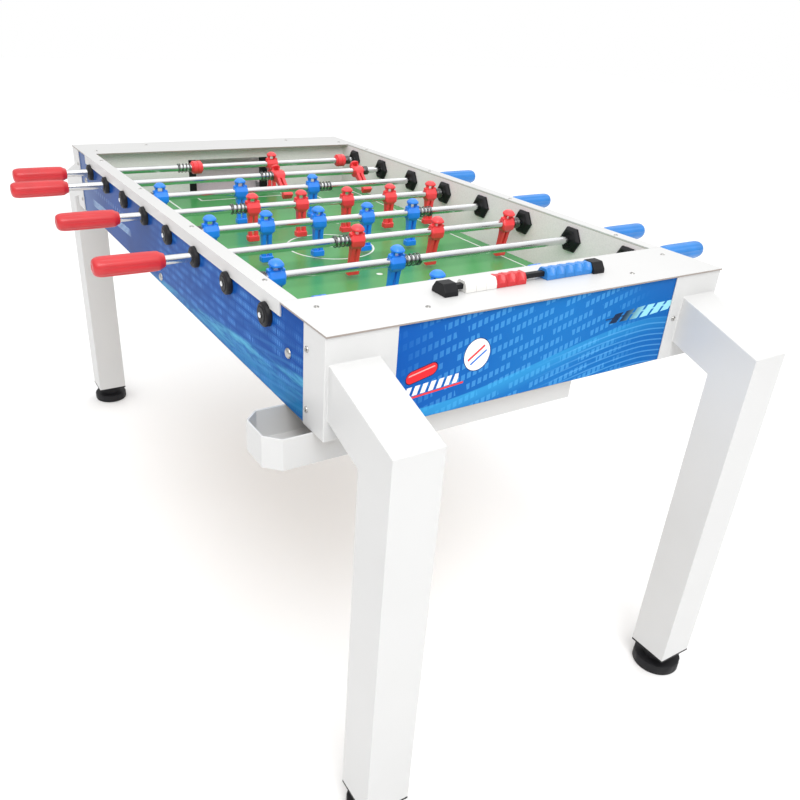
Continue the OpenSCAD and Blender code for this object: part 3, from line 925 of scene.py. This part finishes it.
def buildPlayer():
    p = player
    bm = bmesh.new()
    w, d, toe = p["footHalfWidth"], p["footHalfDepth"], p["toe"]
    addFacets(bm, [
        (toe, 0, 0, d - 1.4, w - 1.4, 1.0),
        (toe + 1.4, 0, 0, d, w, 1.6),
        (toe + 11.0, 0, 0, d, w, 1.6),
        (toe + 12.4, 0, 0, d - 1.6, w - 1.6, 1.2),
    ])
    for side in (-1, 1):
        addFacets(bm, [
            (toe + 10.5, 0, side * 7.0, 6.2, 4.6, 1.0),
            (toe + 15, 0, side * 6.8, 5.6, 3.9, 1.0),
            (-42, 0, side * 6.5, 5.5, 3.8, 1.0),
            (-26, 0, side * 6.2, 6.6, 3.9, 1.2),
            (p["legTop"], 0, side * 6.2, 8.4, 4.2, 1.4),
        ])
        addFacets(bm, [  # shoulder, squared off at the arm
            (6.0, 0, side * 11.6, 4.4, 3.2, 1.0),
            (10.4, 0, side * 12.2, 5.6, 3.4, 1.2),
            (14.0, 0, side * 12.6, 5.2, 3.0, 1.2),
            (15.4, 0, side * 12.0, 3.6, 1.9, 0.8),
        ])
        addFacets(bm, [  # the post beside the hole through the neck
            (10.0, 0, side * 8.6, 5.4, 3.2, 1.0),
            (13.6, 0, side * 8.0, 4.2, 2.3, 0.8),
            (18.6, 0, side * 8.2, 4.4, 2.4, 0.8),
            (22.4, 0, side * 8.4, 7.6, 3.6, 1.4),
        ])
    addFacets(bm, [
        (-16.0, 0, 0, 8.2, 10.2, 1.4),
        (-13.6, 0, 0, 9.4, 11.2, 1.6),
        (-9.4, 0, 0, 12.6, 14.6, 2.2),
        (-8.0, 0, 0, 13.0, 15.0, 2.4),
        (1.8, 0, 0, 13.0, 15.0, 2.4),
        (3.2, 0, 0, 12.4, 14.8, 2.4),
        (11.2, 0, 0, 7.0, 13.2, 2.0),
        (12.2, 0, 0, 5.4, 10.6, 1.8),
    ])
    addLoft(bm, [
        (20.4, 0.2, 0, 9.6, 9.6),
        (21.0, 0.2, 0, 12.0, 11.8),
        (22.2, 0.2, 0, 12.8, 12.8),
        (24.6, 0.1, 0, 12.2, 12.2),
        (28.2, 0, 0, 9.0, 9.2),
        (30.2, 0, 0, 6.0, 6.2),
        (31.0, 0, 0, 3.0, 3.2),
    ], 2.5, 20)
    collar = [
        (collarBore, 0.0140), (0.0100, 0.0140), (0.0100, 0.0152),
        (0.0096, 0.0157), (0.0084, 0.0157), (collarBore, 0.0154),
    ]
    for side in (-1, 1):  # round the tube on each flank
        addTurned(bm, [(radius, side * y) for radius, y in collar], 24, alongRod)
    return bm


def buildStopBlock():
    bm = bmesh.new()
    half = [
        (0.0152, 0.0008), (0.0165, 0.0018), (0.0165, 0.0102), (0.0156, 0.0112),
        (0.0124, 0.0118), (0.0124, 0.0142), (0.0112, 0.0150), (collarBore, 0.0150),
    ]
    addTurned(bm, [(radius, -y) for radius, y in reversed(half)] + half, 36, alongRod)
    return bm


playerShape = template(buildPlayer(), "playerShape", 24)
stopShape = template(buildStopBlock(), "stopShape", 38)
for rod in rods:
    number, count, colour = rod["number"], rod["men"], rod["team"]
    middle = (count - 1) / 2
    turn = (0.0, rod["turn"], 0.0)
    spots = [(onRod(rod, rod["slide"] + (i - middle) * spacing[count]), turn) for i in range(count)]
    made = copiesOf(f"players_{number}", playerShape, spots, finishes[colour], sharp=22)
    hand(made, rod["body"], f"{colour}_plastic", f"men_{number}")
    if count == 1:
        spots = [(onRod(rod, rod["slide"] + s * halfSpan[1]), turn) for s in (-1, 1)]
        stops = copiesOf(f"stopBlocks_{number}", stopShape, spots, finishes[colour])
        hand(stops, rod["body"], f"{colour}_plastic")
print("players set on their rods")


# springs, wound to their free length on the long side and pressed on the short side

spring = {"coils": 3.0, "free": 0.0345, "pressed": 0.0155, "radius": 0.0103, "wire": 0.0024}


def windSpring(name, rod, direction, length):
    inner = rod["slide"] + direction * (halfSpan[rod["men"]] + onTube["springSeat"])
    start = inner if direction > 0 else inner - length
    made = newObject(name, bpy.data.meshes.new(name))
    sizes = {"Coils": spring["coils"], "Radius": spring["radius"], "Wire": spring["wire"], "Length": length}
    runTree(made, springTree, name, Place=onRod(rod, start), Finish=finishes["spring"], **sizes)
    hand(made, rod["body"], "screw_steel")
    return made, onRod(rod, inner)


for rod in rods:
    longWay = -1 if rod["slide"] > 0 else 1
    made, anchor = windSpring(f"spring_{rod['number']}_long", rod, longWay, spring["free"])
    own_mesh(made)
    windSpring(f"spring_{rod['number']}_short", rod, -longWay, spring["pressed"])
print("springs wound:", 2 * len(rods))


# telescopic rods: a tube over an inner rod that the far bush holds

grip = {"flutes": 8, "depth": 0.0011, "bore": 0.0081, "boreDepth": 0.010, "reach": 0.4345}
bush = {"radius": 0.0185, "thick": 0.011, "sleeve": 0.013, "sleeveEnd": -0.0340, "bore": 0.00806}
nut = {"flats": 0.048, "thick": 0.011, "face": 0.0178, "bore": 0.0131}
steel = {
    "outer": 0.0080,
    "inner": 0.0060,
    "insideHandle": 0.105,
    "core": 0.00594,
    "coreEnd": 0.3005,
    "collar": 0.00756,
    "closing": 0.0050,
    "gap": 0.0004,
    "spigot": 0.0030,
    "cap": 0.0045,
    "capThick": 0.0020,
}


def buildTube(rod):
    near = rod["side"] * (grip["reach"] + rod["travel"] + steel["insideHandle"])
    far = -rod["side"] * (halfSpan[rod["men"]] + onTube["hub"] + onTube["springRoom"])
    low, high = sorted((near + rod["slide"], far + rod["slide"]))
    inner, outer, ease = steel["inner"], steel["outer"], 0.0003
    return [
        (inner, low), (outer - ease, low), (outer, low + ease),
        (outer, high - ease), (outer - ease, high), (inner, high),
    ]


def buildCore(rod):
    # from its free end inside the tube out through the closed bush
    core, collar, spigot, cap = steel["core"], steel["collar"], steel["spigot"], steel["cap"]
    thick, end, ease = steel["capThick"], -steel["coreEnd"], 0.0005
    face = table["faceY"] + bush["thick"]
    collarEnd = face - steel["closing"] - steel["gap"]
    capStart = face + steel["gap"]
    profile = [
        (0, end), (core - ease, end), (core, end + ease), (core, collarEnd - 0.002),
        (collar, collarEnd - 0.002), (collar, collarEnd), (spigot, collarEnd), (spigot, capStart),
        (cap, capStart), (cap, capStart + thick * 0.6), (cap * 0.8, capStart + thick), (0, capStart + thick),
    ]
    return [(radius, -rod["side"] * along) for radius, along in profile]


def turnSteel(node, outline, x, body):
    bm = bmesh.new()
    addTurned(bm, outline, 40, Matrix.Translation((x, 0, table["rodHeight"])) @ alongRod)
    made = newObject(node + "_turned", meshFrom(bm, node + "_turned", 40))
    made.data.materials.append(finishes["tube"])
    hand(made, body, "steel_tube", node)


for rod in rods:
    turnSteel(f"tube_{rod['number']}", buildTube(rod), rod["x"], rod["body"])
    turnSteel(f"inner_rod_{rod['number']}", buildCore(rod), rod["x"], f"inner_{rod['number']}")
print("tubes and inner rods turned:", 2 * len(rods))


# handles


def ease01(value):
    return min(max(value, 0.0), 1.0)


def flutedRing(radius, height, angle):
    # shallow flutes that fade out towards both ends
    fade = ease01((height - 0.014) / 0.012) * ease01((0.112 - height) / 0.010)
    dip = max(0.0, math.cos(angle * grip["flutes"])) ** 1.5
    return radius - grip["depth"] * fade * dip, height


def buildGrip():
    # drawn along +Z from its inner end, where the tube goes into a short bore
    bm = bmesh.new()
    profile = [
        (grip["bore"], grip["boreDepth"]), (grip["bore"], 0.0),
        (0.0084, 0.0), (0.0108, 0.0), (0.0118, 0.0006), (0.0131, 0.0040), (0.0150, 0.0080), (0.0161, 0.0096),
        (0.0166, 0.0120), (0.0168, 0.0160), (0.01710, 0.0260), (0.01725, 0.0400), (0.01725, 0.0600),
        (0.01725, 0.0800), (0.01722, 0.0960), (0.01710, 0.1040), (0.0167, 0.1090), (0.0157, 0.1130),
        (0.0142, 0.1160), (0.0120, 0.1180), (0.0090, 0.1190), (0.0052, 0.1190), (0.0046, 0.1184),
        (0.0, 0.1184),
    ]
    rings = addTurned(bm, profile, 64, shape=flutedRing)
    bm.faces.new(rings[0])
    return bm


gripShape = template(buildGrip(), "gripShape", 40)
for rod in rods:
    y = rod["slide"] + rod["side"] * (grip["reach"] + rod["travel"])
    spots = [(onRod(rod, y), facing(rod["side"]))]
    made = copiesOf(f"grip_{rod['number']}", gripShape, spots, finishes[rod["team"] + "Grip"])
    hand(made, rod["body"], f"{rod['team']}_plastic", f"handle_{rod['number']}")
print("handles fitted")


# bushes outside and chamfered nuts inside


def buildBush(ending):
    # drawn along +Z from the board's face, with the sleeve behind it
    bm = bmesh.new()
    r, thick, bore, sleeve, end = (bush[key] for key in ("radius", "thick", "bore", "sleeve", "sleeveEnd"))
    addTurned(bm, [
        (bore, end), (sleeve, end), (sleeve, 0.0), (r - 0.0006, 0.0), (r, 0.0006),
        (r, 0.0068), (r - 0.0007, 0.0084), (r - 0.0024, 0.0096), (r - 0.0044, 0.0098), (r - 0.0050, 0.0092),
        (0.0122, 0.0091), (0.0117, 0.0098), (0.0114, thick - 0.0004), (0.0110, thick),
    ] + ending, 48)
    return bm


def hexagonRing(radius, height, angle):
    # flats outside the round face, round inside it
    sixth = math.pi / 3
    fromFlat = (angle + sixth / 2) % sixth - sixth / 2
    return (radius / math.cos(fromFlat) if radius > nut["face"] else radius), height


def buildNut():
    bm = bmesh.new()
    flats, thick, face, bore = nut["flats"] / 2, nut["thick"], nut["face"], nut["bore"]
    addTurned(bm, [
        (flats - 0.0006, 0.0), (flats, 0.0006), (flats, thick * 0.42), (flats - 0.0036, thick * 0.86),
        (flats - 0.0050, thick * 0.95), (face, thick * 0.95), (face - 0.0006, thick), (0.0146, thick),
        (0.0140, thick * 0.93), (bore, thick * 0.93), (bore, 0.0),
    ], 48, Matrix.Rotation(math.pi / 6, 4, "Z"), hexagonRing)
    return bm


thick, bore = bush["thick"], bush["bore"]
closed = thick - steel["closing"]
openEnding = [(0.0088, thick), (bore, thick - 0.0006)]
closedEnding = [
    (0.0066, thick - 0.0002), (0.0034, thick), (0.00306, thick - 0.0004), (0.00306, closed), (bore, closed),
]
openBush = template(buildBush(openEnding), "openBush", 35)
closedBush = template(buildBush(closedEnding), "closedBush", 35)
nutShape = template(buildNut(), "nutShape", 28)
openSpots, closedSpots, nutSpots = [], [], []
for rod in rods:
    for side in (-1, 1):
        spots = openSpots if side == rod["side"] else closedSpots
        spots.append((onRod(rod, side * table["faceY"]), facing(side)))
        nutSpots.append((onRod(rod, side * table["wallY"]), facing(-side)))
bushes = copiesOf("openBushes", openBush, openSpots, finishes["black"])
hand(bushes, "cabinet", "black_plastic", "guide_bushes")
hand(copiesOf("closedBushes", closedBush, closedSpots, finishes["black"]), "cabinet", "black_plastic")
nuts = copiesOf("nuts", nutShape, nutSpots, finishes["black"])
hand(nuts, "cabinet", "black_plastic", "hex_nuts")
print("bushes and nuts:", len(openSpots) + len(closedSpots), len(nutSpots))


# counters

counter = {  # shape in millimetres
    "width": 19.6,
    "gap": 0.4,
    "depth": 26.0,
    "height": 17.0,
    "lift": 0.4,
    "scallop": 3.4,
}
counterBar = {"x": 0.633, "pitch": 0.0196, "low": -0.121, "high": 0.138, "clear": 0.0004}


def buildCounter():
    # a saddle on the bar with a thumb scallop on each long edge
    c = counter
    bm = bmesh.new()
    h, d, low = c["height"], c["depth"] / 2, c["lift"]
    steps = 12
    rings = []
    for step in range(steps + 1):
        t = step / steps
        y = c["gap"] + t * (c["width"] - c["gap"])
        ease = 0.5 * max(1.0 - min(t, 1 - t) / 0.06, 0.0)
        hollow = math.sin(math.pi * ease01((t - 0.14) / 0.72)) ** 0.8
        top = low + h - ease
        cut = c["scallop"] * hollow
        half = [  # from the foot of one flank up to the middle of the top
            (d - ease, low), (d - ease - cut * 0.15, low + h * 0.40), (d - 2.4 - cut * 1.3, low + h * 0.66),
            (d - 5.0 - cut * 1.3, top - 1.2), (d - 6.6 - cut, top),
        ]
        section = [(-x, z) for x, z in half] + [(0, top)] + half[::-1]
        rings.append([bm.verts.new(Vector((x, y, z)) * millimetre) for x, z in section])
    skinAndCap(bm, rings)
    return bm


counterShape = template(buildCounter(), "counterShape", 32)
pitch = counterBar["pitch"]
for colour, start, count in (
    ("white", counterBar["low"], 3),
    ("red", counterBar["low"] + 3 * pitch, 3),
    ("blue", counterBar["high"] - 5 * pitch - counterBar["clear"], 5),
):
    spots = [((counterBar["x"], start + i * pitch, table["top"]), (0, 0, 0)) for i in range(count)]
    finish = finishes["ivory" if colour == "white" else colour + "Grip"]
    made = copiesOf(f"scoreBlocks_{colour}", counterShape, spots, finish)
    hand(made, f"counters_{colour}", f"{colour}_plastic", f"counters_{colour}")
print("counters set")


# screws, bolts and the feet

screwSizes = {  # (radius, rise) of the heads
    "screw": (0.0040, 0.0019),
    "bolt": (0.0046, 0.0030),
    "dome": (0.0080, 0.0040),
}
screwPlaces = {
    "railPitch": 0.320,
    "railY": 0.36925,
    "endTops": ((0.611, 0.3505), (0.671, 0.206)),
    "cornerX": 0.6575,
    "cornerHeights": (0.672, 0.762),
    "plate": (0.291, 0.721),
    "endDome": (0.5955, 0.731),
    "middleDome": (0, 0.660),
}


def buildHead(size, crossed):
    # a domed head on +Z, with a cross sunk in its middle
    radius, rise = size
    steps = 7
    profile = []
    for step in range(steps):
        t = step / steps * math.pi / 2
        profile.append((radius * math.cos(t) ** 0.8, rise * math.sin(t)))

    def sunkRing(r, height, angle):
        fromArm = abs((angle + math.pi / 4) % (math.pi / 2) - math.pi / 4)
        sunk = crossed and r < radius * 0.75 and fromArm < 0.30
        return r, height * (0.2 if sunk else 1.0)

    bm = bmesh.new()
    rings = addTurned(bm, profile + [(0.0, rise)], 24, shape=sunkRing)
    bm.faces.new(rings[0])
    return bm


screwShape = template(buildHead(screwSizes["screw"], True), "screwShape", 30)
boltShape = template(buildHead(screwSizes["bolt"], True), "boltShape", 30)
domeShape = template(buildHead(screwSizes["dome"], False), "domeShape", 50)
topSpots, boltSpots, domeSpots = [], [], []
for side in (-1, 1):
    places = screwPlaces
    for i in range(4):
        x = (i - 1.5) * places["railPitch"]
        topSpots.append(((x, side * places["railY"], table["top"]), (0, 0, 0.3 * i)))
    for end in (-1, 1):
        for x, y in places["endTops"]:
            topSpots.append(((end * x, side * y, table["top"]), (0, 0, 0.5 * x)))
        for z in places["cornerHeights"]:
            boltSpots.append(((end * places["cornerX"], side * table["skinY"], z), facing(side)))
        y, z = places["plate"]
        boltSpots.append(((end * table["plateX"], side * y, z), (0, end * math.pi / 2, 0)))
        x, z = places["endDome"]
        domeSpots.append(((end * x, side * table["faceY"], z), facing(side)))
    x, z = places["middleDome"]
    domeSpots.append(((x, side * table["faceY"], z), facing(side)))
heads = copiesOf("topScrews", screwShape, topSpots, finishes["screw"])
hand(heads, "cabinet", "screw_steel", "screws")
hand(copiesOf("plateBolts", boltShape, boltSpots, finishes["screw"]), "cabinet", "screw_steel")
hand(copiesOf("panelDomes", domeShape, domeSpots, finishes["screw"]), "cabinet", "screw_steel")

foot = {
    "x": 0.8305,
    "y": 0.343,
    "radius": 0.046,
    "lobes": 12,
    "lobeDepth": 0.0011,
    "neck": 0.029,
    "height": 0.0416,
}
stem = {"low": 0.030, "high": 0.0915, "root": 0.0074, "crest": 0.00795, "pitch": 0.0016}


def lobedRing(radius, height, angle):
    # lobes round the rim, between its rounded edges
    if 0.002 < height < 0.0215:
        radius -= foot["lobeDepth"] * max(0.0, math.cos(angle * foot["lobes"]))
    return radius, height


def buildFoot():
    bm = bmesh.new()
    r, neck, top = foot["radius"], foot["neck"], foot["height"]
    rings = addTurned(bm, [
        (0.0, 0.0), (r - 0.0030, 0.0), (r - 0.0008, 0.0010), (r, 0.0032),
        (r, 0.0182), (r - 0.0012, 0.0210), (r - 0.0040, 0.0220),
        (neck + 0.0030, 0.0226), (neck + 0.0005, 0.0240), (neck, 0.0262),
        (neck, top - 0.001), (neck - 0.001, top), (0.0082, top),
    ], 72, shape=lobedRing)
    bm.faces.new(rings[-1])
    return bm


def buildStem():
    # a screw thread drawn as plain rings
    bm = bmesh.new()
    root, crest, pitch = stem["root"], stem["crest"], stem["pitch"]
    profile = [(0.0, stem["low"]), (root, stem["low"])]
    height = stem["low"] + pitch
    while height < stem["high"] - 0.002:
        profile += [(root, height), (crest, height + pitch / 2)]
        height += pitch
    profile += [(0.0070, stem["high"]), (0.0, stem["high"])]
    addTurned(bm, profile, 24)
    return bm


footShape = template(buildFoot(), "footShape", 35)
stemShape = template(buildStem(), "stemShape", 60)
for number, (end, side) in enumerate(((1, -1), (1, 1), (-1, -1), (-1, 1)), 1):
    spots = [((end * foot["x"], side * foot["y"], 0), (0, 0, 0))]
    made = copiesOf(f"footBase_{number}", footShape, spots, finishes["black"])
    hand(made, f"foot_{number}", "black_plastic", f"foot_{number}")
    made = copiesOf(f"footScrew_{number}", stemShape, spots, finishes["screw"])
    hand(made, f"foot_{number}", "screw_steel")
print("screws, bolts and feet done")

for made in templates:
    bpy.data.objects.remove(made)


# stage, light and camera

room = {
    "floor": 14.0,
    "horizon": 0.33,
    "zenith": 1.66,
    "backdrop": 1.0,
    "key": 72.0,
    "fill": 1.0,
    "back": 8.0,
}


def buildStage():
    mesh = bpy.data.meshes.new("floor")
    size = room["floor"]
    corners = [(-size, -size, 0), (size, -size, 0), (size, size, 0), (-size, size, 0)]
    mesh.from_pydata(corners, [], [(0, 1, 2, 3)])
    floor = newObject("floor", mesh)
    paper = Finish("paleFloor", Roughness=0.9)
    paper.set(Base_Color=paper.mix(paper.noise(2.0), (0.95, 0.95, 0.95), (0.93, 0.93, 0.93)))
    mesh.materials.append(paper.material)


def addLight(name, place, aim, power, width):
    light = bpy.data.lights.new(name, "AREA")
    light.energy = power
    light.shape = "RECTANGLE"
    light.size = width
    light.size_y = width
    made = newObject(name, light)
    made.location = place
    made.rotation_euler = (Vector(aim) - Vector(place)).to_track_quat("-Z", "Y").to_euler()


buildStage()
addLight("keyLight", (2.7, -0.9, 3.3), (0, 0, 0.6), room["key"], 2.2)
addLight("fillLight", (1.4, -3.2, 2.2), (0.3, 0, 0.6), room["fill"], 2.4)
addLight("backLight", (-1.8, 2.2, 3.0), (0, 0, 0.7), room["back"], 2.2)
world = bpy.data.worlds.new("softRoom")
world.use_nodes = True
air = world.node_tree.nodes
toLight = world.node_tree.links.new
direction = air.new("ShaderNodeTexCoord")
split = air.new("ShaderNodeSeparateXYZ")
brightness = air.new("ShaderNodeMapRange")
heights = {"From Min": 0.0, "From Max": 1.0, "To Min": room["horizon"], "To Max": room["zenith"]}
for key, value in heights.items():
    brightness.inputs[key].default_value = value
seen = air.new("ShaderNodeLightPath")
choice = air.new("ShaderNodeMix")
choice.inputs[3].default_value = room["backdrop"]
toLight(direction.outputs["Generated"], split.inputs[0])
toLight(split.outputs[2], brightness.inputs["Value"])
toLight(brightness.outputs[0], choice.inputs[2])
toLight(seen.outputs["Is Camera Ray"], choice.inputs[0])
air["Background"].inputs["Color"].default_value = (1.0, 1.0, 1.0, 1)
toLight(choice.outputs[0], air["Background"].inputs["Strength"])
bpy.context.scene.world = world
bpy.context.scene.view_settings.view_transform = "Standard"

lens = {  # rows are the camera's right, up and back directions
    "place": (1.4983, -0.8123, 1.1691),
    "right": (0.52111, 0.85158, 0.05703),
    "up": (-0.43324, 0.20635, 0.87734),
    "back": (0.73536, -0.48190, 0.47647),
    "focal": 34.540,
    "shift": (0.02211, 0.02587),
}
cameraData = bpy.data.cameras.new("camera")
cameraData.sensor_width = 36.0
cameraData.lens = lens["focal"]
cameraData.shift_x, cameraData.shift_y = lens["shift"]
cameraData.clip_start = 0.02
camera = newObject("camera", cameraData)
camera.matrix_world = Matrix.Translation(lens["place"]) @ Matrix(
    (lens["right"], lens["up"], lens["back"])
).transposed().to_4x4()
bpy.context.scene.camera = camera

print("stage, light and camera set")
